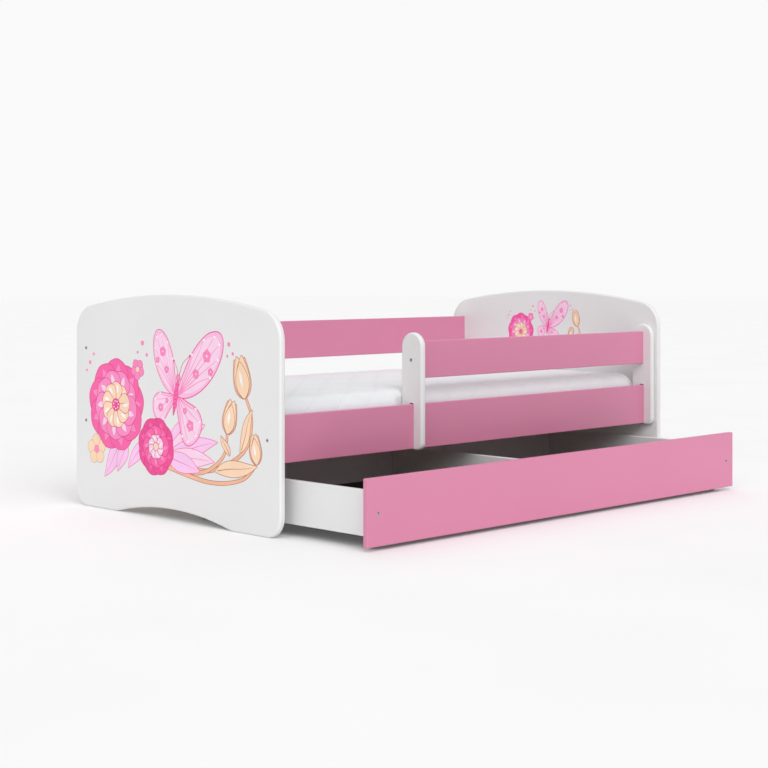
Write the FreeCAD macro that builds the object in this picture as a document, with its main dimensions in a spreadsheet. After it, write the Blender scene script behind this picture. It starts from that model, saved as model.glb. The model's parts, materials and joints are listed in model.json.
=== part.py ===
import FreeCAD, Part
import math
import os
import re
import Sketcher

# Toddler bed with a lift-off guard rail and a rolling under-bed drawer, in millimetres.
# +X runs along the bed, +Z is up and -Y is the side with the guard rail and the drawer.
# The origin is on the floor, in the middle of the footprint that the bed and its
# part-open drawer cover together. Every sub-part reads its sizes from the sheet "Dims".

DIMENSIONS = {
    # End panels: crowned top, round shoulders and feet, a shallow arch between the feet.
    "bed_length": 1640,
    "panel_width": 898,
    "panel_height": 613,
    "panel_thickness": 18,
    "panel_round": 6,
    "crown_radius": 2133,
    "shoulder_radius": 81,
    "foot_radius": 55,
    "arch_height": 30.5,
    "arch_radius": 1070,
    "arch_blend": 100,
    # Side boards: the middle of each board is board_plane away from the bed's middle.
    "board_thickness": 16,
    "board_plane": 398.5,
    "board_round": 2,
    "low_bottom": 185.5,
    "low_height": 123.5,
    "high_bottom": 395.5,
    "high_height": 121,
    # Slatted base.
    "cleat_bottom": 199,
    "cleat_height": 30,
    "cleat_depth": 20,
    "cleat_length": 1560,
    "cleat_screws": 5,
    "slat_count": 12,
    "slat_width": 70,
    "slat_thickness": 18,
    "slat_length": 774,
    "slat_margin": 17,
    "slat_round": 3,
    "tape_width": 25,
    "tape_thickness": 0.8,
    "tape_offset": 300,
    # Mattress.
    "mattress_length": 1594,
    "mattress_width": 762,
    "mattress_bottom": 248,
    "mattress_height": 100,
    "mattress_corner": 45,
    "mattress_roll": 42,
    "mattress_play": 2,
    # Guard rail: two forked posts that sit astride the low front board, and a board.
    "guard_length": 1095,
    "guard_gap": 0.6,
    "guard_setback": 1.5,
    "guard_bottom": 379,
    "guard_height": 103.5,
    "post_width": 78,
    "post_thickness": 18,
    "post_top": 507,
    "post_bottom": 182,
    "post_foot": 20,
    "slot_width": 17,
    "slot_top": 312,
    "slot_corner": 5,
    "inner_leg_bottom": 252,
    # Drawer.
    "rest_opening": 328.5,
    "front_length": 1588,
    "front_bottom": 11,
    "front_height": 166.5,
    "box_width": 1530,
    "box_length": 693,
    "box_bottom": 32,
    "box_height": 112.5,
    "floor_level": 44,
    "floor_thickness": 3,
    "groove_depth": 6,
    "groove_play": 0.1,
    "drawer_screw_level": 92.5,
    "back_screw_low": 70,
    "back_screw_high": 120,
    # Castors.
    "housing_width": 24,
    "housing_length": 46,
    "housing_bottom": 9,
    "housing_round": 12,
    "well_width": 16,
    "well_length": 36,
    "well_top": 33,
    "castor_inset": 2,
    "castor_screw_level": 38.5,
    "castor_screw_spread": 15,
    "wheel_radius": 15,
    "wheel_width": 14,
    "wheel_round": 2,
    "wheel_rim": 3,
    "hub_radius": 5,
    "axle_radius": 2.5,
    "axle_play": 0.05,
    # Furniture screws, wood screws and dowels.
    "bolt_length": 50,
    "bolt_head": 5,
    "bolt_neck": 3.5,
    "bolt_neck_length": 12,
    "bolt_thread": 2.6,
    "bolt_tip": 3,
    "screw_length": 33,
    "screw_head": 4,
    "screw_shank": 2,
    "screw_tip": 2.5,
    "drive_width": 5,
    "drive_depth": 3,
    "small_drive_width": 2.6,
    "small_drive_depth": 1.6,
    "dowel_radius": 4,
    "dowel_length": 34,
    "dowel_chamfer": 1,
    "dowel_spread": 35,
    "dowel_in_panel": 9,
    "dowel_in_board": 26,
    "hole_play": 0.05,
    "hole_room": 1,
}

doc = FreeCAD.newDocument("toddler_bed")
sheet = doc.addObject("Spreadsheet::Sheet", "Dims")
for row, (alias, number) in enumerate(DIMENSIONS.items(), start=1):
    sheet.set(f"A{row}", alias)
    sheet.set(f"B{row}", str(number))
    sheet.setAlias(f"B{row}", alias)
doc.recompute()

Z_AXIS = FreeCAD.Vector(0, 0, 1)
Y_AXIS = FreeCAD.Vector(0, 1, 0)
AHEAD_X = FreeCAD.Rotation()
BACK_X = FreeCAD.Rotation(Z_AXIS, 180)
AHEAD_Y = FreeCAD.Rotation(Z_AXIS, 90)
BACK_Y = FreeCAD.Rotation(Z_AXIS, -90)
SAME_LENGTH = 0.01  # lengths that differ by less than this count as equal
HALF_LENGTH = "bed_length / 2"
HALF_THICKNESS = "board_thickness / 2"

# Y of the bed's middle plane, and of the drawer's main planes with the drawer at rest.
BED_MIDDLE = f"((board_plane + {HALF_THICKNESS} + rest_opening - panel_width / 2) / 2)"
FRONT_FACE = f"({BED_MIDDLE} - board_plane - {HALF_THICKNESS} - rest_opening)"
BOX_START = f"({FRONT_FACE} + board_thickness)"
BOX_END = f"({BOX_START} + box_length)"

nodes = []


def bind(text):
    """Turn the aliases in a formula into references to the sheet."""
    return re.sub(r"[a-z][a-z_]+", lambda found: "Dims." + found.group(0), text)


def size(alias):
    """Read one driving dimension."""
    return float(getattr(sheet, alias))


def place(item, x="0", y="0", z="0"):
    item.setExpression("Placement.Base.x", bind(x))
    item.setExpression("Placement.Base.y", bind(y))
    item.setExpression("Placement.Base.z", bind(z))


def keep(item, name):
    """Name a sub-part and list it for export."""
    item.Label = name
    nodes.append(item)
    return item


# ---- Sketches ----


def new_sketch(body, name, role, offset="0"):
    """Make a sketch on one of the body's origin planes, moved along the plane's normal."""
    sketch = body.newObject("Sketcher::SketchObject", name)
    plane = next(item for item in body.Origin.OriginFeatures if item.Role == role)
    sketch.AttachmentSupport = (plane, "")
    sketch.MapMode = "FlatFace"
    sketch.setExpression("AttachmentOffset.Base.z", bind(offset))
    return sketch


def constrain(sketch, constraint, name, formula):
    index = sketch.addConstraint(constraint)
    sketch.renameConstraint(index, name)
    sketch.setExpression("Constraints." + name, bind(formula))


def add_rectangle(sketch, left, low, width, height):
    """Draw a rectangle from its low left corner; all four values are formulas."""
    first = sketch.GeometryCount
    corners = [(0, 0), (1, 0), (1, 1), (0, 1)]
    points = [FreeCAD.Vector(x, y, 0) for x, y in corners]
    for index in range(4):
        sketch.addGeometry(Part.LineSegment(points[index], points[(index + 1) % 4]), False)
    for index in range(4):
        after = first + (index + 1) % 4
        sketch.addConstraint(Sketcher.Constraint("Coincident", first + index, 2, after, 1))
    for index in (0, 2):
        sketch.addConstraint(Sketcher.Constraint("Horizontal", first + index))
        sketch.addConstraint(Sketcher.Constraint("Vertical", first + index + 1))
    corner_x = Sketcher.Constraint("DistanceX", -1, 1, first, 1, 0.5)
    corner_y = Sketcher.Constraint("DistanceY", -1, 1, first, 1, 0.5)
    across = Sketcher.Constraint("DistanceX", first, 1, first, 2, 1)
    upward = Sketcher.Constraint("DistanceY", first + 1, 1, first + 1, 2, 1)
    constrain(sketch, corner_x, f"left{first}", left)
    constrain(sketch, corner_y, f"low{first}", low)
    constrain(sketch, across, f"width{first}", width)
    constrain(sketch, upward, f"height{first}", height)


def add_circle(sketch, across, upward, radius):
    """Draw a circle from its centre and radius, given as formulas."""
    index = sketch.addGeometry(Part.Circle(FreeCAD.Vector(1, 1, 0), Z_AXIS, 1), False)
    centre_x = Sketcher.Constraint("DistanceX", -1, 1, index, 3, 1)
    centre_y = Sketcher.Constraint("DistanceY", -1, 1, index, 3, 1)
    constrain(sketch, centre_x, f"across{index}", across)
    constrain(sketch, centre_y, f"upward{index}", upward)
    constrain(sketch, Sketcher.Constraint("Radius", index, 1), f"radius{index}", radius)


def add_hexagon(sketch, width):
    """Draw a hexagon about the origin with a flat-to-flat width given as a formula."""
    sides = 6
    flats_to_corner = math.sqrt(3)
    round_index = sketch.addGeometry(Part.Circle(FreeCAD.Vector(), Z_AXIS, 1), True)
    sketch.addConstraint(Sketcher.Constraint("Coincident", round_index, 3, -1, 1))
    corners = []
    for step in range(sides):
        angle = 2 * math.pi * step / sides
        corners.append(FreeCAD.Vector(math.cos(angle), math.sin(angle), 0))
    first = sketch.GeometryCount
    for step in range(sides):
        side = Part.LineSegment(corners[step], corners[(step + 1) % sides])
        sketch.addGeometry(side, False)
    for step in range(sides):
        after = first + (step + 1) % sides
        sketch.addConstraint(Sketcher.Constraint("Coincident", first + step, 2, after, 1))
        sketch.addConstraint(Sketcher.Constraint("PointOnObject", first + step, 1, round_index))
    for step in range(1, sides):
        sketch.addConstraint(Sketcher.Constraint("Equal", first, first + step))
    sketch.addConstraint(Sketcher.Constraint("PointOnObject", first, 1, -1))
    circumference = Sketcher.Constraint("Radius", round_index, 1)
    constrain(sketch, circumference, "corner_radius", f"({width}) / {flats_to_corner}")


def add_chain(sketch, corners):
    """Draw a closed chain of lines through corners given as pairs of formulas."""
    count = len(corners)
    points = []
    for step in range(count):
        angle = 2 * math.pi * step / count
        points.append(FreeCAD.Vector(math.cos(angle), math.sin(angle), 0))
    for step in range(count):
        segment = Part.LineSegment(points[step], points[(step + 1) % count])
        sketch.addGeometry(segment, False)
    for step in range(count):
        joint = Sketcher.Constraint("Coincident", step, 2, (step + 1) % count, 1)
        sketch.addConstraint(joint)
    for step, (across, upward) in enumerate(corners):
        corner_x = Sketcher.Constraint("DistanceX", -1, 1, step, 1, 0.5)
        corner_y = Sketcher.Constraint("DistanceY", -1, 1, step, 1, 0.5)
        constrain(sketch, corner_x, f"across{step}", across)
        constrain(sketch, corner_y, f"upward{step}", upward)


# ---- Features ----


def pad(body, sketch, name, length):
    feature = body.newObject("PartDesign::Pad", name)
    feature.Profile = sketch
    feature.setExpression("Length", bind(length))
    doc.recompute()
    return feature


def pocket(body, sketch, name, depth=None, ahead=False):
    """Cut along the sketch's normal if ahead, else against it; no depth cuts right through."""
    before = body.Shape.Volume
    feature = body.newObject("PartDesign::Pocket", name)
    feature.Profile = sketch
    if depth is None:
        feature.SideType = "Symmetric"
        feature.Type = "ThroughAll"
    else:
        feature.setExpression("Length", bind(depth))
        feature.Reversed = ahead
    doc.recompute()
    if not body.Shape.Volume < before:
        raise RuntimeError(f"{name} removes nothing")
    return feature


def edges_where(feature, test):
    """Names of the feature's edges whose middle point and edge satisfy the test."""
    names = []
    for index, edge in enumerate(feature.Shape.Edges, start=1):
        middle = edge.valueAt((edge.FirstParameter + edge.LastParameter) / 2)
        if test(middle, edge):
            names.append(f"Edge{index}")
    return names


def fillet(body, base, name, radius, test):
    """Round the edges of the base that satisfy the test."""
    feature = body.newObject("PartDesign::Fillet", name)
    feature.Base = (base, edges_where(base, test))
    feature.setExpression("Radius", bind(radius))
    doc.recompute()
    return feature


def chamfer(body, base, name, width, test):
    feature = body.newObject("PartDesign::Chamfer", name)
    feature.Base = (base, edges_where(base, test))
    feature.setExpression("Size", bind(width))
    doc.recompute()
    return feature


def near(value, target):
    return abs(value - target) < SAME_LENGTH


def is_round(edge, radius):
    return isinstance(edge.Curve, Part.Circle) and near(edge.Curve.Radius, radius)


def drill(body, name, role, offset, holes, depth=None, ahead=False):
    """Cut round holes, listed as formulas for centre and radius, from one plane."""
    sketch = new_sketch(body, name + "_sketch", role, offset)
    for across, upward, radius in holes:
        add_circle(sketch, across, upward, radius)
    return pocket(body, sketch, name, depth, ahead)


NECK_HOLE = "bolt_neck + hole_play"
THREAD_HOLE = "bolt_thread + hole_play"
SHANK_HOLE = "screw_shank + hole_play"
DOWEL_HOLE = "dowel_radius + hole_play"
THREAD_DEPTH = "bolt_length - board_thickness + hole_room"


# ---- Boards: local X along the length, Y through the thickness, Z up from the low edge ----


def new_board(name, length, height, rounding="board_round", all_edges=False):
    """A flat board with rounded edges; its two ends stay square unless all_edges is set."""
    body = doc.addObject("PartDesign::Body", name)
    sketch = new_sketch(body, name + "_section", "YZ_Plane")
    add_rectangle(sketch, f"-({HALF_THICKNESS})", "0", "board_thickness", height)
    base = pad(body, sketch, name + "_pad", length)
    ends = (base.Shape.BoundBox.XMin, base.Shape.BoundBox.XMax)

    def long_edge(middle, edge):
        return all_edges or not (near(middle.x, ends[0]) or near(middle.x, ends[1]))

    fillet(body, base, name + "_round", rounding, long_edge)
    return keep(body, name)


def end_holes(body, name, length, level, spread, ends=("near", "far"), bolt=True):
    """A thread hole at the level and two dowel holes above and below it in a board's ends."""
    pegs = [("0", f"{level} - {spread}", DOWEL_HOLE), ("0", f"{level} + {spread}", DOWEL_HOLE)]
    for end in ends:
        offset = "0" if end == "near" else length
        ahead = end == "near"
        drill(body, f"{name}_{end}_pegs", "YZ_Plane", offset, pegs, "dowel_in_board", ahead)
        if bolt:
            thread = [("0", level, THREAD_HOLE)]
            drill(body, f"{name}_{end}_thread", "YZ_Plane", offset, thread, THREAD_DEPTH, ahead)


def side_board(name, bottom, height, y):
    """A board between the end panels, fixed at each end by one bolt and two dowels."""
    length = "(bed_length - 2 * panel_thickness)"
    body = new_board(name, length, height)
    end_holes(body, name, length, f"{height} / 2", "dowel_spread")
    place(body, f"panel_thickness - {HALF_LENGTH}", y, bottom)
    return body


def cleat_screw_steps():
    """X of the cleat screws, from the bed's middle."""
    count = int(size("cleat_screws"))
    pitch = size("cleat_length") / count
    return [pitch * (step - (count - 1) / 2) for step in range(count)]


def screw_pilots(board, name, inner_side):
    """Pilot holes for the cleat screws, in a low board's inner face."""
    level = "cleat_bottom + cleat_height / 2 - low_bottom"
    middle = "bed_length / 2 - panel_thickness"
    holes = [(f"{middle} + {step}", level, SHANK_HOLE) for step in cleat_screw_steps()]
    offset = f"-({inner_side}) * {HALF_THICKNESS}"
    depth = "screw_length - cleat_depth + hole_room"
    drill(board, name + "_pilots", "XZ_Plane", offset, holes, depth, ahead=inner_side > 0)


# ---- Bed frame ----


def end_panel(name, outer):
    """An end panel; outer is -1 or +1, the X direction in which its outer face looks."""
    body = doc.addObject("PartDesign::Body", name)
    half_width = size("panel_width") / 2
    crown_centre = size("panel_height") - size("crown_radius")
    outline = new_sketch(body, name + "_outline", "YZ_Plane")
    low_left = FreeCAD.Vector(-half_width, 0, 0)
    low_right = FreeCAD.Vector(half_width, 0, 0)
    rise = math.sqrt(size("crown_radius") ** 2 - half_width ** 2)
    top_right = FreeCAD.Vector(half_width, crown_centre + rise, 0)
    top_left = FreeCAD.Vector(-half_width, crown_centre + rise, 0)
    apex = FreeCAD.Vector(0, size("panel_height"), 0)
    outline.addGeometry(Part.LineSegment(low_left, low_right), False)
    outline.addGeometry(Part.LineSegment(low_right, top_right), False)
    outline.addGeometry(Part.Arc(top_right, apex, top_left), False)
    outline.addGeometry(Part.LineSegment(top_left, low_left), False)
    outline.addConstraint(Sketcher.Constraint("Coincident", 0, 2, 1, 1))
    outline.addConstraint(Sketcher.Constraint("Coincident", 1, 2, 2, 1))
    outline.addConstraint(Sketcher.Constraint("Coincident", 2, 2, 3, 1))
    outline.addConstraint(Sketcher.Constraint("Coincident", 3, 2, 0, 1))
    outline.addConstraint(Sketcher.Constraint("PointOnObject", 0, 1, -1))
    outline.addConstraint(Sketcher.Constraint("PointOnObject", 0, 2, -1))
    outline.addConstraint(Sketcher.Constraint("Vertical", 1))
    outline.addConstraint(Sketcher.Constraint("Vertical", 3))
    outline.addConstraint(Sketcher.Constraint("PointOnObject", 2, 3, -2))
    start = Sketcher.Constraint("DistanceX", 0, 1, -1, 1, half_width)
    across = Sketcher.Constraint("DistanceX", 0, 1, 0, 2, 2 * half_width)
    centre = Sketcher.Constraint("DistanceY", -1, 1, 2, 3, crown_centre)
    crown = Sketcher.Constraint("Radius", 2, size("crown_radius"))
    constrain(outline, start, "half_width", "panel_width / 2")
    constrain(outline, across, "width", "panel_width")
    constrain(outline, crown, "crown", "crown_radius")
    constrain(outline, centre, "crown_centre", "panel_height - crown_radius")
    slab = pad(body, outline, name + "_slab", "panel_thickness")

    def across_slab(edge):
        return near(edge.BoundBox.XLength, size("panel_thickness"))

    def is_shoulder(middle, edge):
        return across_slab(edge) and middle.z > size("panel_height") / 2

    def is_foot(middle, edge):
        return across_slab(edge) and near(middle.z, 0) and near(abs(middle.y), half_width)

    def is_arch_end(middle, edge):
        between_feet = abs(middle.y) < half_width - 2 * size("foot_radius")
        return across_slab(edge) and near(middle.z, 0) and between_feet

    shoulders = fillet(body, slab, name + "_shoulders", "shoulder_radius", is_shoulder)
    fillet(body, shoulders, name + "_feet", "foot_radius", is_foot)
    arch_sketch = new_sketch(body, name + "_arch_sketch", "YZ_Plane")
    add_circle(arch_sketch, "0", "arch_height - arch_radius", "arch_radius")
    arch = pocket(body, arch_sketch, name + "_arch")
    blended = fillet(body, arch, name + "_arch_blend", "arch_blend", is_arch_end)

    def is_rim(middle, edge):
        return near(middle.x, 0) or near(middle.x, size("panel_thickness"))

    fillet(body, blended, name + "_rim", "panel_round", is_rim)

    levels = (("board_plane", "high_bottom + high_height / 2"),
              ("board_plane", "low_bottom + low_height / 2"),
              ("-board_plane", "low_bottom + low_height / 2"))
    bolts = [(y, z, NECK_HOLE) for y, z in levels]
    pegs = []
    for y, z in levels:
        pegs.append((y, f"{z} - dowel_spread", DOWEL_HOLE))
        pegs.append((y, f"{z} + dowel_spread", DOWEL_HOLE))
    inner = "panel_thickness" if outer < 0 else "0"
    drill(body, name + "_peg_holes", "YZ_Plane", inner, pegs, "dowel_in_panel", ahead=outer > 0)
    drilled = drill(body, name + "_bolt_holes", "YZ_Plane", "0", bolts)
    outer_x = 0 if outer < 0 else size("panel_thickness")
    neck = size("bolt_neck") + size("hole_play")

    def is_mouth(middle, edge):
        return near(middle.x, outer_x) and is_round(edge, neck)

    chamfer(body, drilled, name + "_sinks", "bolt_head - bolt_neck", is_mouth)
    inner_face = f"{outer} * {HALF_LENGTH}" + ("" if outer < 0 else " - panel_thickness")
    place(body, inner_face, BED_MIDDLE)
    return keep(body, name)


def cleat(name, side):
    """A strip screwed inside a low board; side is -1 for the front and +1 for the back."""
    body = doc.addObject("PartDesign::Body", name)
    sketch = new_sketch(body, name + "_section", "YZ_Plane", "-cleat_length / 2")
    add_rectangle(sketch, "-cleat_depth / 2", "0", "cleat_depth", "cleat_height")
    strip = pad(body, sketch, name + "_strip", "cleat_length")

    def long_edge(middle, edge):
        return near(middle.x, 0)

    fillet(body, strip, name + "_round", "board_round", long_edge)
    holes = [(str(step), "cleat_height / 2", SHANK_HOLE) for step in cleat_screw_steps()]
    drilled = drill(body, name + "_holes", "XZ_Plane", "0", holes)
    inner_y = -side * size("cleat_depth") / 2
    shank = size("screw_shank") + size("hole_play")

    def is_mouth(middle, edge):
        return near(middle.y, inner_y) and is_round(edge, shank)

    chamfer(body, drilled, name + "_sinks", "screw_head - screw_shank", is_mouth)
    inset = f"(board_plane - {HALF_THICKNESS} - cleat_depth / 2)"
    place(body, "0", f"{BED_MIDDLE} + ({side}) * {inset}", "cleat_bottom")
    return keep(body, name)


def slat(number):
    """One cross slat, resting on both cleats."""
    name = f"slat_{number + 1:02d}"
    body = doc.addObject("PartDesign::Body", name)
    sketch = new_sketch(body, name + "_outline", "XY_Plane")
    add_rectangle(sketch, "-slat_width / 2", "-slat_length / 2", "slat_width", "slat_length")
    plank = pad(body, sketch, name + "_plank", "slat_thickness")

    def long_edge(middle, edge):
        return near(middle.y, 0)

    fillet(body, plank, name + "_round", "slat_round", long_edge)
    reach = "(bed_length / 2 - panel_thickness - slat_margin - slat_width / 2)"
    place(body, f"{reach} * (2 * {number} / (slat_count - 1) - 1)", BED_MIDDLE,
          "cleat_bottom + cleat_height")
    return keep(body, name)


def slat_tape(name, side):
    """A flat woven tape that holds the slats at their spacing."""
    tape = doc.addObject("Part::Box", name)
    tape.setExpression("Length", bind("bed_length - 2 * panel_thickness - 2 * slat_margin"))
    tape.setExpression("Width", bind("tape_width"))
    tape.setExpression("Height", bind("tape_thickness"))
    place(tape, f"panel_thickness + slat_margin - {HALF_LENGTH}",
          f"{BED_MIDDLE} + ({side}) * tape_offset - tape_width / 2",
          "cleat_bottom + cleat_height + slat_thickness")
    return keep(tape, name)


def mattress(name):
    """A foam mattress with rolled edges, notched where the guard's inner legs press in."""
    body = doc.addObject("PartDesign::Body", name)
    sketch = new_sketch(body, name + "_outline", "XY_Plane")
    add_rectangle(sketch, "-mattress_length / 2", "-mattress_width / 2",
                  "mattress_length", "mattress_width")
    block = pad(body, sketch, name + "_block", "mattress_height")
    height = size("mattress_height")

    def is_corner(middle, edge):
        return near(edge.BoundBox.ZLength, height)

    corners = fillet(body, block, name + "_corners", "mattress_corner", is_corner)

    def is_rim(middle, edge):
        return near(middle.z, height) or near(middle.z, 0)

    fillet(body, corners, name + "_roll", "mattress_roll", is_rim)
    notches = new_sketch(body, name + "_notches_sketch", "XY_Plane")
    depth = "(mattress_width / 2 - board_plane + post_width / 2 + mattress_play)"
    width = "(post_thickness + 2 * mattress_play)"
    far_post = "(bed_length / 2 - panel_thickness - guard_gap - post_thickness)"
    near_post = f"({far_post} + post_thickness - guard_length)"
    for post in (near_post, far_post):
        add_rectangle(notches, f"{post} - mattress_play", "-mattress_width / 2", width, depth)
    pocket(body, notches, name + "_notches")
    place(body, "0", BED_MIDDLE, "mattress_bottom")
    return keep(body, name)


# ---- Guard rail ----

GUARD_END = "(bed_length / 2 - panel_thickness - guard_gap)"
GUARD_START = f"({GUARD_END} - guard_length)"
GUARD_LEVEL = "(guard_bottom + guard_height / 2)"


def guard_post(name, outer):
    """A forked post; outer is -1 for the left post and +1 for the right one."""
    body = doc.addObject("PartDesign::Body", name)
    outline = new_sketch(body, name + "_outline", "YZ_Plane")
    half_width = size("post_width") / 2
    height = size("post_top") - size("post_bottom")
    low_left = FreeCAD.Vector(-half_width, 0, 0)
    low_right = FreeCAD.Vector(half_width, 0, 0)
    top_right = FreeCAD.Vector(half_width, height - half_width, 0)
    top_left = FreeCAD.Vector(-half_width, height - half_width, 0)
    outline.addGeometry(Part.LineSegment(low_left, low_right), False)
    outline.addGeometry(Part.LineSegment(low_right, top_right), False)
    outline.addGeometry(Part.Arc(top_right, FreeCAD.Vector(0, height, 0), top_left), False)
    outline.addGeometry(Part.LineSegment(top_left, low_left), False)
    outline.addConstraint(Sketcher.Constraint("Coincident", 0, 2, 1, 1))
    outline.addConstraint(Sketcher.Constraint("Tangent", 1, 2, 2, 1))
    outline.addConstraint(Sketcher.Constraint("Tangent", 2, 2, 3, 1))
    outline.addConstraint(Sketcher.Constraint("Coincident", 3, 2, 0, 1))
    outline.addConstraint(Sketcher.Constraint("Horizontal", 0))
    outline.addConstraint(Sketcher.Constraint("Vertical", 1))
    outline.addConstraint(Sketcher.Constraint("Vertical", 3))
    outline.addConstraint(Sketcher.Constraint("PointOnObject", 0, 1, -1))
    start = Sketcher.Constraint("DistanceX", 0, 1, -1, 1, half_width)
    across = Sketcher.Constraint("DistanceX", 0, 1, 0, 2, 2 * half_width)
    shoulder = Sketcher.Constraint("DistanceY", 1, 1, 1, 2, height - half_width)
    constrain(outline, start, "half_width", "post_width / 2")
    constrain(outline, across, "width", "post_width")
    constrain(outline, shoulder, "shoulder", "post_top - post_bottom - post_width / 2")
    blade = pad(body, outline, name + "_blade", "post_thickness")

    def is_foot(middle, edge):
        return near(middle.z, 0) and near(edge.BoundBox.XLength, size("post_thickness"))

    feet = fillet(body, blade, name + "_feet", "post_foot", is_foot)

    def is_rim(middle, edge):
        return near(middle.x, 0) or near(middle.x, size("post_thickness"))

    fillet(body, feet, name + "_rim", "panel_round", is_rim)
    slot = new_sketch(body, name + "_slot_sketch", "YZ_Plane")
    lip = "(inner_leg_bottom - post_bottom)"
    add_chain(slot, (
        ("-slot_width / 2", "-post_foot"),
        ("post_width", "-post_foot"),
        ("post_width", lip),
        ("slot_width / 2", lip),
        ("slot_width / 2", "slot_top - post_bottom"),
        ("-slot_width / 2", "slot_top - post_bottom"),
    ))
    fork = pocket(body, slot, name + "_slot")
    slot_end = size("slot_top") - size("post_bottom")

    def is_slot_corner(middle, edge):
        inside = near(abs(middle.y), size("slot_width") / 2)
        return inside and near(middle.z, slot_end)

    fillet(body, fork, name + "_slot_round", "slot_corner", is_slot_corner)
    level = f"{GUARD_LEVEL} - post_bottom"
    pegs = [("guard_setback", f"{level} - dowel_spread", DOWEL_HOLE),
            ("guard_setback", f"{level} + dowel_spread", DOWEL_HOLE)]
    inner = "post_thickness" if outer < 0 else "0"
    drill(body, name + "_peg_holes", "YZ_Plane", inner, pegs, "dowel_in_panel", ahead=outer > 0)
    necks = [("guard_setback", level, NECK_HOLE)]
    drilled = drill(body, name + "_bolt_hole", "YZ_Plane", "0", necks)
    outer_x = 0 if outer < 0 else size("post_thickness")
    neck = size("bolt_neck") + size("hole_play")

    def is_mouth(middle, edge):
        return near(middle.x, outer_x) and is_round(edge, neck)

    chamfer(body, drilled, name + "_sink", "bolt_head - bolt_neck", is_mouth)
    x = GUARD_START if outer < 0 else f"{GUARD_END} - post_thickness"
    place(body, x, f"{BED_MIDDLE} - board_plane", "post_bottom")
    return keep(body, name)


def guard_board(name):
    length = "(guard_length - 2 * post_thickness)"
    body = new_board(name, length, "guard_height")
    end_holes(body, name, length, "guard_height / 2", "dowel_spread")
    place(body, f"{GUARD_START} + post_thickness",
          f"{BED_MIDDLE} - board_plane + guard_setback", "guard_bottom")
    return body


# ---- Drawer ----

BOX_HALF = "(box_width / 2)"
SIDE_X = f"({BOX_HALF} - {HALF_THICKNESS})"
GROOVE_LOW = "(floor_level - groove_play)"
GROOVE_WIDTH = "(floor_thickness + 2 * groove_play)"
PEG_LOW = "(drawer_screw_level - dowel_spread)"
PEG_HIGH = "(drawer_screw_level + dowel_spread)"
BACK_Y_PLACE = f"({BOX_END} - {HALF_THICKNESS})"


def groove(body, name, start, length, bottom, face):
    """A groove for the drawer's floor along a board's face; face is -1 or +1 in local Y."""
    offset = f"-({face}) * {HALF_THICKNESS}"
    sketch = new_sketch(body, name + "_sketch", "XZ_Plane", offset)
    add_rectangle(sketch, start, f"{GROOVE_LOW} - {bottom}", length, GROOVE_WIDTH)
    return pocket(body, sketch, name, "groove_depth", ahead=face > 0)


def countersink(body, base, name, face_y):
    """Open the mouths of the bolt holes on a board's face at local Y = face_y."""
    neck = size("bolt_neck") + size("hole_play")

    def is_mouth(middle, edge):
        return near(middle.y, face_y) and is_round(edge, neck)

    return chamfer(body, base, name, "bolt_head - bolt_neck", is_mouth)


def drawer_front(name):
    body = new_board(name, "front_length", "front_height", all_edges=True)
    middle = "front_length / 2"
    reach = f"({BOX_HALF} - board_thickness + groove_depth)"
    groove(body, name + "_groove", f"{middle} - {reach}", f"2 * {reach}", "front_bottom", 1)
    pegs = []
    for x in (f"{middle} - {SIDE_X}", middle, f"{middle} + {SIDE_X}"):
        pegs.append((x, f"{PEG_LOW} - front_bottom", DOWEL_HOLE))
        pegs.append((x, f"{PEG_HIGH} - front_bottom", DOWEL_HOLE))
    inner = f"-({HALF_THICKNESS})"
    drill(body, name + "_peg_holes", "XZ_Plane", inner, pegs, "dowel_in_panel", ahead=True)
    level = "drawer_screw_level - front_bottom"
    holes = [(f"{middle} - {SIDE_X}", level, NECK_HOLE), (f"{middle} + {SIDE_X}", level, NECK_HOLE)]
    drilled = drill(body, name + "_bolt_holes", "XZ_Plane", "0", holes)
    countersink(body, drilled, name + "_sinks", -size("board_thickness") / 2)
    place(body, "-front_length / 2", f"{FRONT_FACE} + {HALF_THICKNESS}", "front_bottom")
    return body


def drawer_side(name, side):
    """A drawer side turned to run along Y; side is -1 for the left and +1 for the right."""
    body = new_board(name, "box_length", "box_height")
    level = "drawer_screw_level - box_bottom"
    end_holes(body, name, "box_length", level, "dowel_spread", ends=("near",))
    groove(body, name + "_groove", "0", "box_length", "box_bottom", side)
    back_line = f"box_length - {HALF_THICKNESS}"
    holes = [(back_line, "back_screw_low - box_bottom", NECK_HOLE),
             (back_line, "back_screw_high - box_bottom", NECK_HOLE)]
    drilled = drill(body, name + "_bolt_holes", "XZ_Plane", "0", holes)
    countersink(body, drilled, name + "_sinks", -side * size("board_thickness") / 2)
    block_reach = "(castor_inset + housing_length / 2)"
    pilots = []
    for middle in (block_reach, f"box_length - {block_reach}"):
        for sign in ("-", "+"):
            x = f"{middle} {sign} castor_screw_spread"
            pilots.append((x, "castor_screw_level - box_bottom", SHANK_HOLE))
    offset = f"-({side}) * {HALF_THICKNESS}"
    depth = "screw_length - housing_width + hole_room"
    drill(body, name + "_pilots", "XZ_Plane", offset, pilots, depth, ahead=side > 0)
    body.Placement.Rotation = AHEAD_Y
    place(body, f"({side}) * {SIDE_X}", BOX_START, "box_bottom")
    return body


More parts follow.
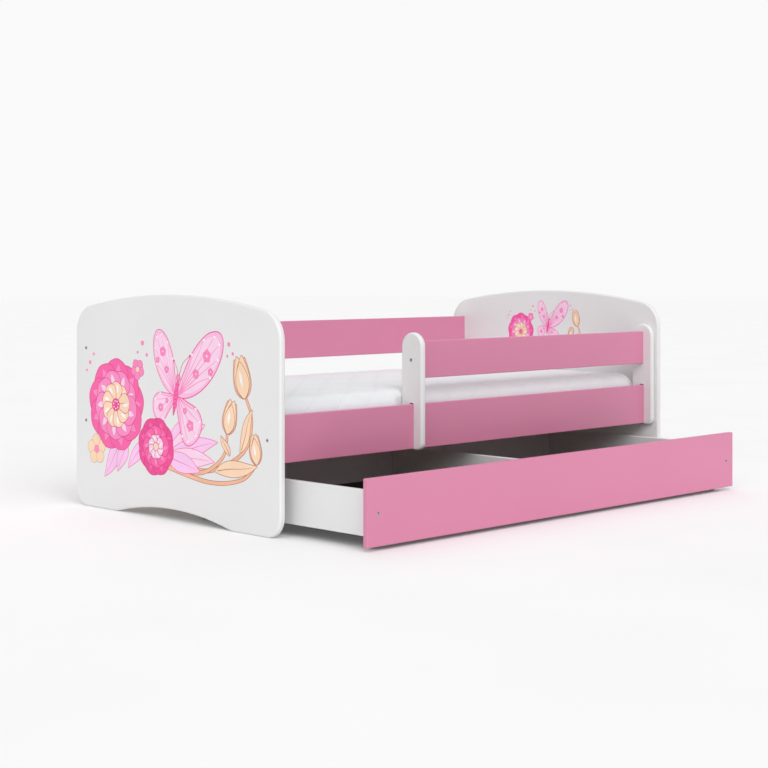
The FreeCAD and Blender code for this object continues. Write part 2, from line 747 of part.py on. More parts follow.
def drawer_divider(name):
    length = "(box_length - board_thickness)"
    body = new_board(name, length, "box_height")
    level = "drawer_screw_level - box_bottom"
    end_holes(body, name, length, level, "dowel_spread", ends=("near",), bolt=False)
    for face in (-1, 1):
        side_name = "left" if face > 0 else "right"
        groove(body, f"{name}_groove_{side_name}", "0", length, "box_bottom", face)
    threads = [("0", "back_screw_low - box_bottom", THREAD_HOLE),
               ("0", "back_screw_high - box_bottom", THREAD_HOLE)]
    drill(body, name + "_threads", "YZ_Plane", length, threads, THREAD_DEPTH)
    body.Placement.Rotation = AHEAD_Y
    place(body, "0", BOX_START, "box_bottom")
    return body


def drawer_back(name):
    """The back stands on the drawer's floor, between the two sides."""
    bottom = "(floor_level + floor_thickness + groove_play)"
    length = "(box_width - 2 * board_thickness)"
    body = new_board(name, length, f"(box_bottom + box_height - {bottom})")
    threads = [("0", f"back_screw_low - {bottom}", THREAD_HOLE),
               ("0", f"back_screw_high - {bottom}", THREAD_HOLE)]
    drill(body, name + "_threads_near", "YZ_Plane", "0", threads, THREAD_DEPTH, ahead=True)
    drill(body, name + "_threads_far", "YZ_Plane", length, threads, THREAD_DEPTH)
    necks = [(f"{length} / 2", z, NECK_HOLE) for _, z, _ in threads]
    drilled = drill(body, name + "_bolt_holes", "XZ_Plane", "0", necks)
    countersink(body, drilled, name + "_sinks", size("board_thickness") / 2)
    place(body, f"-{length} / 2", BACK_Y_PLACE, bottom)
    return body


def drawer_floor(name, side):
    """One hardboard floor panel, held in the grooves of the front, a side and the divider."""
    panel = doc.addObject("Part::Box", name)
    inner = f"({HALF_THICKNESS} - groove_depth + groove_play)"
    outer = f"({BOX_HALF} - board_thickness + groove_depth - groove_play)"
    start = f"-{outer}" if side < 0 else inner
    panel.setExpression("Length", bind(f"{outer} - {inner}"))
    panel.setExpression("Width", bind("box_length + groove_depth - groove_play"))
    panel.setExpression("Height", bind("floor_thickness"))
    place(panel, start, f"{BOX_START} - groove_depth + groove_play", "floor_level")
    return keep(panel, name)


# ---- Castors: four fixed wheels in moulded housings, inside the drawer's corners ----

CASTOR_X = f"({BOX_HALF} - board_thickness - housing_width / 2)"
FRONT_CASTOR_Y = f"({BOX_START} + castor_inset + housing_length / 2)"
REAR_CASTOR_Y = f"({BOX_END} - castor_inset - housing_length / 2)"
CASTORS = (
    ("front_left", -1, FRONT_CASTOR_Y),
    ("front_right", 1, FRONT_CASTOR_Y),
    ("rear_left", -1, REAR_CASTOR_Y),
    ("rear_right", 1, REAR_CASTOR_Y),
)


def castor_housing(name, side, y):
    body = doc.addObject("PartDesign::Body", name)
    outline = new_sketch(body, name + "_outline", "XY_Plane")
    add_rectangle(outline, "-housing_width / 2", "-housing_length / 2",
                  "housing_width", "housing_length")
    block = pad(body, outline, name + "_block", "floor_level - housing_bottom")

    def is_low_corner(middle, edge):
        across = near(edge.BoundBox.XLength, size("housing_width"))
        return across and near(middle.z, 0)

    fillet(body, block, name + "_round", "housing_round", is_low_corner)
    well_sketch = new_sketch(body, name + "_well_sketch", "XY_Plane")
    add_rectangle(well_sketch, "-well_width / 2", "-well_length / 2", "well_width", "well_length")
    pocket(body, well_sketch, name + "_well", "well_top - housing_bottom", ahead=True)
    axle_hole = [("0", "wheel_radius - housing_bottom", "axle_radius")]
    drill(body, name + "_axle_hole", "YZ_Plane", "0", axle_hole)
    level = "castor_screw_level - housing_bottom"
    holes = [("-castor_screw_spread", level, SHANK_HOLE), ("castor_screw_spread", level, SHANK_HOLE)]
    drilled = drill(body, name + "_holes", "YZ_Plane", "0", holes)
    inner_x = -side * size("housing_width") / 2
    shank = size("screw_shank") + size("hole_play")

    def is_mouth(middle, edge):
        return near(middle.x, inner_x) and is_round(edge, shank)

    chamfer(body, drilled, name + "_sinks", "screw_head - screw_shank", is_mouth)
    place(body, f"({side}) * {CASTOR_X}", y, "housing_bottom")
    return keep(body, name)


def castor_axle(name, side, y):
    axle = doc.addObject("Part::Cylinder", name)
    axle.setExpression("Radius", bind("axle_radius"))
    axle.setExpression("Height", bind("housing_width"))
    axle.Placement.Rotation = FreeCAD.Rotation(Y_AXIS, 90)
    place(axle, f"({side}) * {CASTOR_X} - housing_width / 2", y, "wheel_radius")
    return keep(axle, name)


def castor_wheel(name, side, y):
    """A wheel whose bore runs freely on its axle."""
    body = doc.addObject("PartDesign::Body", name)
    ring = new_sketch(body, name + "_ring", "YZ_Plane", "-wheel_width / 2")
    add_circle(ring, "0", "0", "wheel_radius")
    add_circle(ring, "0", "0", "axle_radius + axle_play")
    tyre = pad(body, ring, name + "_tyre", "wheel_width")

    def is_tread_edge(middle, edge):
        return is_round(edge, size("wheel_radius"))

    fillet(body, tyre, name + "_tread", "wheel_round", is_tread_edge)
    for end, face in (("left", -1), ("right", 1)):
        recess = new_sketch(body, f"{name}_{end}_ring", "YZ_Plane", f"({face}) * wheel_width / 2")
        add_circle(recess, "0", "0", "wheel_radius - wheel_rim")
        add_circle(recess, "0", "0", "hub_radius")
        pocket(body, recess, f"{name}_{end}_dish", "wheel_round", ahead=face < 0)
    place(body, f"({side}) * {CASTOR_X}", y, "wheel_radius")
    return keep(body, name)


# ---- Fasteners ----


def master_bolt():
    """A furniture screw along +X with a countersunk head, a neck and a hexagon socket."""
    body = doc.addObject("PartDesign::Body", "master_bolt")
    profile = new_sketch(body, "master_bolt_profile", "XZ_Plane")
    add_chain(profile, (
        ("0", "0"),
        ("bolt_length", "0"),
        ("bolt_length - bolt_tip", "bolt_thread"),
        ("bolt_neck_length", "bolt_thread"),
        ("bolt_neck_length", "bolt_neck"),
        ("bolt_head - bolt_neck", "bolt_neck"),
        ("0", "bolt_head"),
    ))
    turned = body.newObject("PartDesign::Revolution", "master_bolt_turned")
    turned.Profile = profile
    turned.ReferenceAxis = (profile, ["H_Axis"])
    turned.Angle = 360
    doc.recompute()
    socket = new_sketch(body, "master_bolt_socket_sketch", "YZ_Plane")
    add_hexagon(socket, "drive_width")
    pocket(body, socket, "master_bolt_socket", "drive_depth", ahead=True)
    return body


def master_screw():
    """A wood screw along +X with a countersunk head and a hexagon socket."""
    body = doc.addObject("PartDesign::Body", "master_screw")
    profile = new_sketch(body, "master_screw_profile", "XZ_Plane")
    add_chain(profile, (
        ("0", "0"),
        ("screw_length", "0"),
        ("screw_length - screw_tip", "screw_shank"),
        ("screw_head - screw_shank", "screw_shank"),
        ("0", "screw_head"),
    ))
    turned = body.newObject("PartDesign::Revolution", "master_screw_turned")
    turned.Profile = profile
    turned.ReferenceAxis = (profile, ["H_Axis"])
    turned.Angle = 360
    doc.recompute()
    socket = new_sketch(body, "master_screw_socket_sketch", "YZ_Plane")
    add_hexagon(socket, "small_drive_width")
    pocket(body, socket, "master_screw_socket", "small_drive_depth", ahead=True)
    return body


def master_dowel():
    """A beech dowel along +X with chamfered ends."""
    body = doc.addObject("PartDesign::Body", "master_dowel")
    ring = new_sketch(body, "master_dowel_ring", "YZ_Plane")
    add_circle(ring, "0", "0", "dowel_radius")
    rod = pad(body, ring, "master_dowel_rod", "dowel_length")

    def is_end(middle, edge):
        return is_round(edge, size("dowel_radius"))

    chamfer(body, rod, "master_dowel_ends", "dowel_chamfer", is_end)
    return body


def bed_middle():
    """Y of the bed's middle plane, as BED_MIDDLE has it."""
    reach = size("board_plane") + size("board_thickness") / 2 + size("rest_opening")
    return (reach - size("panel_width") / 2) / 2


def spot(x, y, z, turn):
    return FreeCAD.Placement(FreeCAD.Vector(x, y, z), turn)


def group(name, master, spots):
    """Copies of one fastener, each a separate solid, in one sub-part."""
    copies = []
    for placement in spots:
        copy = master.Shape.copy()
        copy.Placement = placement
        copies.append(copy)
    feature = doc.addObject("Part::Feature", name)
    feature.Shape = Part.makeCompound(copies)
    return keep(feature, name)


def frame_fasteners(bolt, screw, dowel):
    """Bolts and dowels at the ends of the side boards, and the cleats' screws."""
    middle = bed_middle()
    low = size("low_bottom") + size("low_height") / 2
    high = size("high_bottom") + size("high_height") / 2
    plane = size("board_plane")
    joints = ((middle + plane, high), (middle + plane, low), (middle - plane, low))
    half = size("bed_length") / 2
    peg_start = half - size("panel_thickness") + size("dowel_in_panel")
    peg_levels = (-size("dowel_spread"), size("dowel_spread"))
    for side, x_sign, turn in (("left", -1, AHEAD_X), ("right", 1, BACK_X)):
        bolts = [spot(x_sign * half, y, z, turn) for y, z in joints]
        group(f"panel_bolts_{side}", bolt, bolts)
        pegs = [spot(x_sign * peg_start, y, z + step, turn) for y, z in joints for step in peg_levels]
        group(f"panel_dowels_{side}", dowel, pegs)
    cleat_face = plane - size("board_thickness") / 2 - size("cleat_depth")
    level = size("cleat_bottom") + size("cleat_height") / 2
    for side, y_sign, turn in (("front", -1, BACK_Y), ("back", 1, AHEAD_Y)):
        y = middle + y_sign * cleat_face
        group(f"cleat_screws_{side}", screw, [spot(x, y, level, turn) for x in cleat_screw_steps()])


def guard_fasteners(bolt, dowel):
    end = size("bed_length") / 2 - size("panel_thickness") - size("guard_gap")
    start = end - size("guard_length")
    y = bed_middle() - size("board_plane") + size("guard_setback")
    level = size("guard_bottom") + size("guard_height") / 2
    group("guard_bolts", bolt, [spot(start, y, level, AHEAD_X), spot(end, y, level, BACK_X)])
    peg_inset = size("post_thickness") - size("dowel_in_panel")
    pegs = []
    for x, turn in ((start + peg_inset, AHEAD_X), (end - peg_inset, BACK_X)):
        for step in (-size("dowel_spread"), size("dowel_spread")):
            pegs.append(spot(x, y, level + step, turn))
    group("guard_dowels", dowel, pegs)


def drawer_fasteners(bolt, screw, dowel):
    thickness = size("board_thickness")
    face = bed_middle() - size("board_plane") - thickness / 2 - size("rest_opening")
    box_start = face + thickness
    box_end = box_start + size("box_length")
    side_x = (size("box_width") - thickness) / 2
    level = size("drawer_screw_level")
    fronts = [spot(x, face, level, AHEAD_Y) for x in (-side_x, side_x)]
    group("drawer_front_bolts", bolt, fronts)
    peg_y = box_start - size("dowel_in_panel")
    pegs = []
    for x in (-side_x, 0, side_x):
        for step in (-size("dowel_spread"), size("dowel_spread")):
            pegs.append(spot(x, peg_y, level + step, AHEAD_Y))
    group("drawer_dowels", dowel, pegs)
    backs = []
    for z in (size("back_screw_low"), size("back_screw_high")):
        backs.append(spot(-size("box_width") / 2, box_end - thickness / 2, z, AHEAD_X))
        backs.append(spot(size("box_width") / 2, box_end - thickness / 2, z, BACK_X))
        backs.append(spot(0, box_end, z, BACK_Y))
    group("drawer_back_bolts", bolt, backs)
    block_face = size("box_width") / 2 - thickness - size("housing_width")
    block_reach = size("castor_inset") + size("housing_length") / 2
    spread = size("castor_screw_spread")
    screws = []
    for y in (box_start + block_reach, box_end - block_reach):
        for step in (-spread, spread):
            z = size("castor_screw_level")
            screws.append(spot(-block_face, y + step, z, BACK_X))
            screws.append(spot(block_face, y + step, z, AHEAD_X))
    group("castor_screws", screw, screws)


def check_and_export():
    """Stop on any failed object or shape; write one STEP file per sub-part."""
    doc.recompute()
    for item in doc.Objects:
        if "Invalid" in item.State or "Error" in item.State:
            raise RuntimeError(f"{item.Label} is {item.State}")
    for item in nodes:
        if item.Shape.isNull() or not item.Shape.isValid() or not item.Shape.Solids:
            raise RuntimeError(f"{item.Label} has no valid solid")
    os.makedirs("parts", exist_ok=True)
    for item in nodes:
        item.Shape.exportStep(f"parts/{item.Label}.step")
        print(f"{item.Label}: {len(item.Shape.Solids)} solid(s), {item.Shape.Volume:.0f} mm3")


end_panel("end_panel_left", -1)
end_panel("end_panel_right", 1)
front_board = side_board("front_board", "low_bottom", "low_height", f"{BED_MIDDLE} - board_plane")
back_board = side_board("back_board_low", "low_bottom", "low_height", f"{BED_MIDDLE} + board_plane")
side_board("back_board_high", "high_bottom", "high_height", f"{BED_MIDDLE} + board_plane")
screw_pilots(front_board, "front_board", 1)
screw_pilots(back_board, "back_board_low", -1)
cleat("cleat_front", -1)
cleat("cleat_back", 1)
for slat_number in range(int(size("slat_count"))):
    slat(slat_number)
slat_tape("slat_tape_front", -1)
slat_tape("slat_tape_back", 1)
mattress("mattress")

guard_post("guard_post_left", -1)
guard_post("guard_post_right", 1)
guard_board("guard_board")

drawer_front("drawer_front")
drawer_side("drawer_side_left", -1)
drawer_side("drawer_side_right", 1)
drawer_divider("drawer_divider")
drawer_back("drawer_back")
drawer_floor("drawer_floor_left", -1)
drawer_floor("drawer_floor_right", 1)
for corner, castor_side, castor_y in CASTORS:
    castor_housing(f"castor_housing_{corner}", castor_side, castor_y)
    castor_axle(f"castor_axle_{corner}", castor_side, castor_y)
    castor_wheel(f"castor_wheel_{corner}", castor_side, castor_y)

furniture_bolt = master_bolt()
wood_screw = master_screw()
wood_dowel = master_dowel()
frame_fasteners(furniture_bolt, wood_screw, wood_dowel)
guard_fasteners(furniture_bolt, wood_dowel)
drawer_fasteners(furniture_bolt, wood_screw, wood_dowel)

check_and_export()
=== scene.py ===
import json
import math

import bmesh
import bpy
from mathutils import Color, Matrix, Vector, geometry, noise


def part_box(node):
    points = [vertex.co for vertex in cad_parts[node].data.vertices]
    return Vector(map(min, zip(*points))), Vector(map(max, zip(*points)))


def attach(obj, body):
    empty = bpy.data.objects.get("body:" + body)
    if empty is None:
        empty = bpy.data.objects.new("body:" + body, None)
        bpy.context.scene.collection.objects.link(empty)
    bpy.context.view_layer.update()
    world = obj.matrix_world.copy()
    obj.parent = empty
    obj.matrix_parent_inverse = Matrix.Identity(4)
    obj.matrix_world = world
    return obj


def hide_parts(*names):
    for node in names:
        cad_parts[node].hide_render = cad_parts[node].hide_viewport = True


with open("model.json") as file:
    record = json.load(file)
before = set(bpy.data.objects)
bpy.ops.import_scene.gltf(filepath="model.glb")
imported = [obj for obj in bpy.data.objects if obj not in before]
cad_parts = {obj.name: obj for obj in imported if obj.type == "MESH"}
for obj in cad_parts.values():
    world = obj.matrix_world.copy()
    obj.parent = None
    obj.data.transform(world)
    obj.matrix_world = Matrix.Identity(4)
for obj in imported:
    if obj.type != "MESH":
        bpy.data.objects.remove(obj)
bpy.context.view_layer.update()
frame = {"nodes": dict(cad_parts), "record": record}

# Looks of the toddler bed, in metres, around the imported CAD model.

NODES = frame["nodes"]
MM = 0.001
SCENE = bpy.context.scene

LEFT_PANEL_LOW, LEFT_PANEL_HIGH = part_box("end_panel_left")
RIGHT_PANEL_LOW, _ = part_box("end_panel_right")
BED_MIDDLE_Y = (LEFT_PANEL_LOW.y + LEFT_PANEL_HIGH.y) / 2


# ---------------------------------------------------------------- materials


class Graph:
    """A material's node tree around one Principled shader."""

    def __init__(self, name, roughness=0.5, metallic=0.0, coat=0.0, sheen=0.0):
        self.material = bpy.data.materials.new(name)
        self.material.use_nodes = True
        self.tree = self.material.node_tree
        self.shader = self.tree.nodes["Principled BSDF"]
        self.shader.inputs["Roughness"].default_value = roughness
        self.shader.inputs["Metallic"].default_value = metallic
        self.shader.inputs["Coat Weight"].default_value = coat
        self.shader.inputs["Sheen Weight"].default_value = sheen
        self.place = self.add("ShaderNodeTexCoord").outputs["Object"]

    def add(self, kind, **settings):
        """A node; settings that name an input are set or linked, the rest are attributes."""
        node = self.tree.nodes.new(kind)
        for name, value in settings.items():
            if hasattr(node, name):
                setattr(node, name, value)
        for name, value in settings.items():
            if not hasattr(node, name):
                self.feed(node.inputs[name.replace("_", " ")], value)
        return node

    def feed(self, socket, value):
        if isinstance(value, bpy.types.NodeSocket):
            self.tree.links.new(value, socket)
        else:
            socket.default_value = value

    def stretch(self, scale):
        """The object's coordinates, scaled along each axis."""
        node = self.add("ShaderNodeMapping")
        self.tree.links.new(self.place, node.inputs["Vector"])
        node.inputs["Scale"].default_value = scale
        return node.outputs["Vector"]

    def noise(self, scale, detail=2.0, rough=0.5, source=None, distortion=0.0):
        node = self.add("ShaderNodeTexNoise", Scale=scale, Detail=detail, Roughness=rough)
        node.inputs["Distortion"].default_value = distortion
        self.tree.links.new(source or self.place, node.inputs["Vector"])
        return node.outputs["Fac"]

    def ramp(self, factor, stops):
        """A colour ramp; stops are (position, colour)."""
        node = self.add("ShaderNodeValToRGB")
        ramp = node.color_ramp
        while len(ramp.elements) < len(stops):
            ramp.elements.new(0.5)
        for element, (position, colour) in zip(ramp.elements, stops):
            element.position = position
            element.color = (*colour, 1)
        self.tree.links.new(factor, node.inputs["Fac"])
        return node.outputs["Color"]

    def remap(self, value, low, high, from_low=0.0, from_high=1.0):
        """The value carried from one range to another, and held to its ends."""
        node = self.add("ShaderNodeMapRange")
        self.tree.links.new(value, node.inputs["Value"])
        node.inputs["From Min"].default_value = from_low
        node.inputs["From Max"].default_value = from_high
        node.inputs["To Min"].default_value = low
        node.inputs["To Max"].default_value = high
        return node.outputs["Result"]

    def math(self, operation, first, second):
        node = self.add("ShaderNodeMath")
        node.operation = operation
        for socket, value in zip(node.inputs, (first, second)):
            self.feed(socket, value)
        return node.outputs["Value"]

    def mix(self, factor, first, second, blend="MIX"):
        node = self.add("ShaderNodeMix")
        node.data_type = "RGBA"
        node.blend_type = blend
        colours = [socket for socket in node.inputs if socket.type == "RGBA"]
        self.feed(node.inputs[0], factor)
        for socket, value in zip(colours, (first, second)):
            self.feed(socket, value if isinstance(value, bpy.types.NodeSocket) else (*value, 1))
        return next(socket for socket in node.outputs if socket.type == "RGBA")

    def bump(self, height, strength, depth, under=None):
        node = self.add("ShaderNodeBump")
        node.inputs["Strength"].default_value = strength
        node.inputs["Distance"].default_value = depth
        self.tree.links.new(height, node.inputs["Height"])
        if under is not None:
            self.tree.links.new(under, node.inputs["Normal"])
        return node.outputs["Normal"]

    def finish(self, colour, roughness=None, normal=None):
        """Link what is given to the shader and return the material."""
        for name, value in (("Base Color", colour), ("Roughness", roughness), ("Normal", normal)):
            if value is not None:
                self.tree.links.new(value, self.shader.inputs[name])
        return self.material


def shade(colour, factor):
    return tuple(min(1.0, channel * factor) for channel in colour)


def laminate(name, colour):
    """Smooth melamine board: a faint mottle, a pearl-fine surface and uneven gloss."""
    graph = Graph(name, coat=0.08)
    mottle = graph.noise(2.2, detail=3.0)
    clouds = graph.ramp(mottle, ((0.3, shade(colour, 0.975)), (0.7, shade(colour, 1.02))))
    pearl = graph.noise(900.0, detail=1.0)
    roughness = graph.remap(graph.noise(14.0, detail=3.0), 0.33, 0.46)
    return graph.finish(clouds, roughness, graph.bump(pearl, 0.12, 0.00005))


def timber(name, grain_axis, light, dark):
    """Planed wood with long grain along one axis."""
    graph = Graph(name)
    scale = [34.0, 34.0, 34.0]
    scale[grain_axis] = 1.6
    fibres = graph.noise(1.0, detail=6.0, rough=0.62, source=graph.stretch(scale), distortion=0.6)
    fine_scale = [420.0, 420.0, 420.0]
    fine_scale[grain_axis] = 9.0
    pores = graph.noise(1.0, detail=3.0, source=graph.stretch(fine_scale))
    board_tone = graph.noise(5.0, detail=1.0, source=graph.stretch((3.0, 0.2, 1.0)))
    grain = graph.ramp(fibres, ((0.33, dark), (0.48, shade(light, 0.92)), (0.7, light)))
    shadow = graph.remap(board_tone, 0.0, 0.45, 0.35, 0.65)
    toned = graph.mix(shadow, grain, shade(light, 0.8), "MULTIPLY")
    flecked = graph.mix(graph.remap(pores, 0.0, 0.25, 0.45, 0.7), toned, dark)
    roughness = graph.remap(pores, 0.5, 0.72)
    return graph.finish(flecked, roughness, graph.bump(pores, 0.35, 0.0002))


def hardboard(name, colour):
    """Thin pressed board: fine felted fibres and a slight sheen."""
    graph = Graph(name)
    graph.shader.inputs["Specular IOR Level"].default_value = 0.12
    felt = graph.noise(260.0, detail=4.0, rough=0.7)
    clouds = graph.noise(7.0, detail=3.0)
    base = graph.ramp(felt, ((0.3, shade(colour, 0.82)), (0.7, shade(colour, 1.15))))
    toned = graph.mix(graph.remap(clouds, 0.0, 0.3), base, shade(colour, 0.8))
    roughness = graph.remap(felt, 0.42, 0.6)
    return graph.finish(toned, roughness, graph.bump(felt, 0.25, 0.0001))


def steel(name, colour):
    """Zinc-plated steel: cloudy tone, fine turning marks and uneven gloss."""
    graph = Graph(name, metallic=1.0)
    marks = graph.noise(1400.0, detail=2.0)
    clouds = graph.noise(160.0, detail=3.0)
    tone = graph.ramp(clouds, ((0.3, shade(colour, 0.75)), (0.7, shade(colour, 1.1))))
    roughness = graph.remap(marks, 0.25, 0.5)
    return graph.finish(tone, roughness, graph.bump(marks, 0.2, 0.00003))


def plastic(name, colour, low_rough, high_rough):
    """Moulded plastic with a fine spark-eroded texture and scuffs."""
    graph = Graph(name)
    grainy = graph.noise(1100.0, detail=2.0)
    scuffs = graph.noise(90.0, detail=5.0, rough=0.7)
    tone = graph.ramp(scuffs, ((0.35, colour), (0.8, shade(colour, 1.5))))
    roughness = graph.remap(scuffs, low_rough, high_rough)
    return graph.finish(tone, roughness, graph.bump(grainy, 0.3, 0.00006))


def webbing(name, colour):
    """Woven tape: ribs across and threads along."""
    graph = Graph(name, roughness=0.9, sheen=0.2)
    ribs = graph.add("ShaderNodeTexWave", bands_direction="X")
    ribs.inputs["Scale"].default_value = 160.0
    graph.tree.links.new(graph.place, ribs.inputs["Vector"])
    threads = graph.add("ShaderNodeTexWave", bands_direction="Y")
    threads.inputs["Scale"].default_value = 220.0
    graph.tree.links.new(graph.place, threads.inputs["Vector"])
    weave = graph.math("MULTIPLY", ribs.outputs["Fac"], threads.outputs["Fac"])
    tone = graph.ramp(weave, ((0.0, shade(colour, 0.7)), (0.8, colour)))
    return graph.finish(tone, None, graph.bump(weave, 0.6, 0.0004))


AXIS_X, AXIS_Y, AXIS_Z = range(3)
WHITE = (0.80, 0.80, 0.80)
PINK = (0.69, 0.235, 0.38)
PINE_LIGHT = (0.72, 0.53, 0.32)
PINE_DARK = (0.50, 0.31, 0.15)
BEECH_LIGHT = (0.70, 0.48, 0.30)
BEECH_DARK = (0.45, 0.27, 0.15)

FINISHES = {
    "white_board": laminate("white_laminate", WHITE),
    "pink_board": laminate("pink_laminate", PINK),
    # Near-black board, darker than the board itself would be, so that its colour also stands in for
    # painted shade inside the drawer.
    "hardboard": hardboard("shade_black_hardboard", (0.020, 0.020, 0.0205)),
    "bolt_steel": steel("zinc_steel", (0.5, 0.5, 0.5)),
    "axle_steel": steel("axle_steel", (0.6, 0.6, 0.61)),
    "dowel_wood": timber("beech_dowel", AXIS_X, BEECH_LIGHT, BEECH_DARK),
    "castor_plastic": plastic("castor_housing_plastic", (0.045, 0.045, 0.05), 0.45, 0.65),
    "wheel_plastic": plastic("castor_wheel_plastic", (0.26, 0.26, 0.27), 0.35, 0.55),
    "slat_tape": webbing("slat_webbing", (0.75, 0.74, 0.70)),
}
ACROSS_GRAIN = timber("pine_slats", AXIS_Y, PINE_LIGHT, PINE_DARK)
ALONG_GRAIN = timber("pine_cleats", AXIS_X, PINE_LIGHT, PINE_DARK)


def dress_cad_nodes():
    """Give every CAD node the material of its slot."""
    for part in frame["record"]["subparts"]:
        slot_name = part["material_slot"]
        if slot_name == "mattress_cover":
            continue
        if slot_name == "slat_wood":
            material = ACROSS_GRAIN if part["node"].startswith("slat_") else ALONG_GRAIN
        else:
            material = FINISHES[slot_name]
        for material_slot in NODES[part["node"]].material_slots:
            material_slot.material = material


dress_cad_nodes()


# ---------------------------------------------------------------- mattress

MATTRESS_LOW, MATTRESS_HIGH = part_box("mattress")
MATTRESS_CELLS = (144, 68, 8)         # grid cells along X, Y and Z
MATTRESS_MARGIN = Vector((0.004, 0.004, 0.0025))
MATTRESS_ROLL = 0.024                 # radius of the rolled edges
MATTRESS_LEAN = 0.020                 # how far the top edge stands in from the sides
UNDERSIDE_LIFT = 0.0005               # the underside's height above the slats, as first shaped
UNDERSIDE_GAP = 0.0002                # and the least it keeps in the end
QUILT_CELLS = 10                      # grid cells along one quilting pitch
QUILT_STEP = 0.011                    # one grid cell, so the diamonds repeat every 110 mm
QUILT_SHIFT = (3, 7)                  # grid cells each seam family is shifted by
BORDER_DROP = 4                       # grid rows below the top where the quilting stops
SEAM_REACH = 0.25                     # grid cells from a seam within which the cloth is pinned
SEAM_DEPTH = 0.0012
SEAM_WIDTH = 0.0045
PUCKER_HEIGHT = 0.0007                # small wrinkles beside the seams
PUCKER_REACH = 0.015
PUCKER_SCALE = 55.0
SWAY_HEIGHT = 0.0015                  # slow unevenness of the whole cover
SWAY_SCALE = 4.0
SWAY_PLACE = Vector((3, 1, 7))
PUFF_PRESSURE = 22
PUFF_FRAMES = 20
PUFF_LIMIT = 0.0055                   # the cover never moves further than this
POST_CLEARANCE = 0.0015
POST_DENT_START = 0.004               # along X from a guard post: full dent up to here,
POST_DENT_REACH = 0.040               # and none from here on


def smooth_step(low, high, value):
    """0 up to low, 1 from high on, and a smooth rise between them."""
    t = min(1.0, max(0.0, (value - low) / (high - low)))
    return t * t * (3 - 2 * t)


def box_grid(cells):
    """The lattice points on the skin of a box, and the quads between them, by whole-number place."""
    points = {}
    quads = []

    def vertex(place):
        return points.setdefault(place, len(points))

    axes = (AXIS_X, AXIS_Y, AXIS_Z)
    for axis in axes:
        first, second = [other for other in axes if other != axis]
        for end in (0, cells[axis]):
            for i in range(cells[first]):
                for j in range(cells[second]):
                    corners = []
                    for step_i, step_j in ((0, 0), (1, 0), (1, 1), (0, 1)):
                        place = [0, 0, 0]
                        place[axis] = end
                        place[first] = i + step_i
                        place[second] = j + step_j
                        corners.append(vertex(tuple(place)))
                    outward = (end > 0) == (axis != AXIS_Y)
                    quads.append(corners if outward else corners[::-1])
    return points, quads


def quilt_place(place, cells):
    """Where a lattice point lies on the unfolded cover, from its middle, and its drop below the top.

    All three are in grid cells.
    """
    drop = cells[AXIS_Z] - place[AXIS_Z]
    across = [place[axis] - cells[axis] / 2 for axis in (AXIS_X, AXIS_Y)]
    for axis in (AXIS_X, AXIS_Y):
        if place[axis] in (0, cells[axis]):
            across[axis] += math.copysign(drop, across[axis])
    return (*across, drop)


def seam_distance(u, v):
    """Distance in grid cells to the nearest quilting seam: the seams are the diamonds' sides."""
    distances = []
    for value, shift in ((u + v, QUILT_SHIFT[0]), (u - v, QUILT_SHIFT[1])):
        turns = (value - shift) / QUILT_CELLS
        distances.append(abs(turns - round(turns)) * QUILT_CELLS / math.sqrt(2))
    return min(distances)


def mattress_form():
    """A rounded block on a lattice that its diagonal seams follow, with its quilting data."""
    points, quads = box_grid(MATTRESS_CELLS)
    low = MATTRESS_LOW + MATTRESS_MARGIN
    high = MATTRESS_HIGH - MATTRESS_MARGIN
    low.z = MATTRESS_LOW.z + UNDERSIDE_LIFT
    roll = Vector((MATTRESS_ROLL,) * 3)
    positions = []
    quilting = []
    for place in points:
        flat = Vector([start + (end - start) * step / cells
                       for start, end, step, cells in zip(low, high, place, MATTRESS_CELLS)])
        core = Vector([min(max(value, start), end)
                       for value, start, end in zip(flat, low + roll, high - roll)])
        offset = flat - core
        positions.append(core + offset.normalized() * MATTRESS_ROLL if offset.length > 0 else flat)
        quilting.append(quilt_place(place, MATTRESS_CELLS))
    middle = (low + high) / 2
    for position in positions:
        raised = smooth_step(middle.z, high.z, position.z)
        for axis in (AXIS_X, AXIS_Y):
            half = (high[axis] - low[axis]) / 2
            position[axis] += (middle[axis] - position[axis]) * raised * MATTRESS_LEAN / half
    mesh = bpy.data.meshes.new("mattress_cover")
    mesh.from_pydata(positions, [], quads)
    cover = bpy.data.objects.new("mattress_cover", mesh)
    SCENE.collection.objects.link(cover)
    return cover, quilting


def quilt_weight(drop):
    """1 on the quilted top and its roll, fading to 0 on the plain border and the underside."""
    return 1.0 - smooth_step(BORDER_DROP - 1, BORDER_DROP + 1, drop)


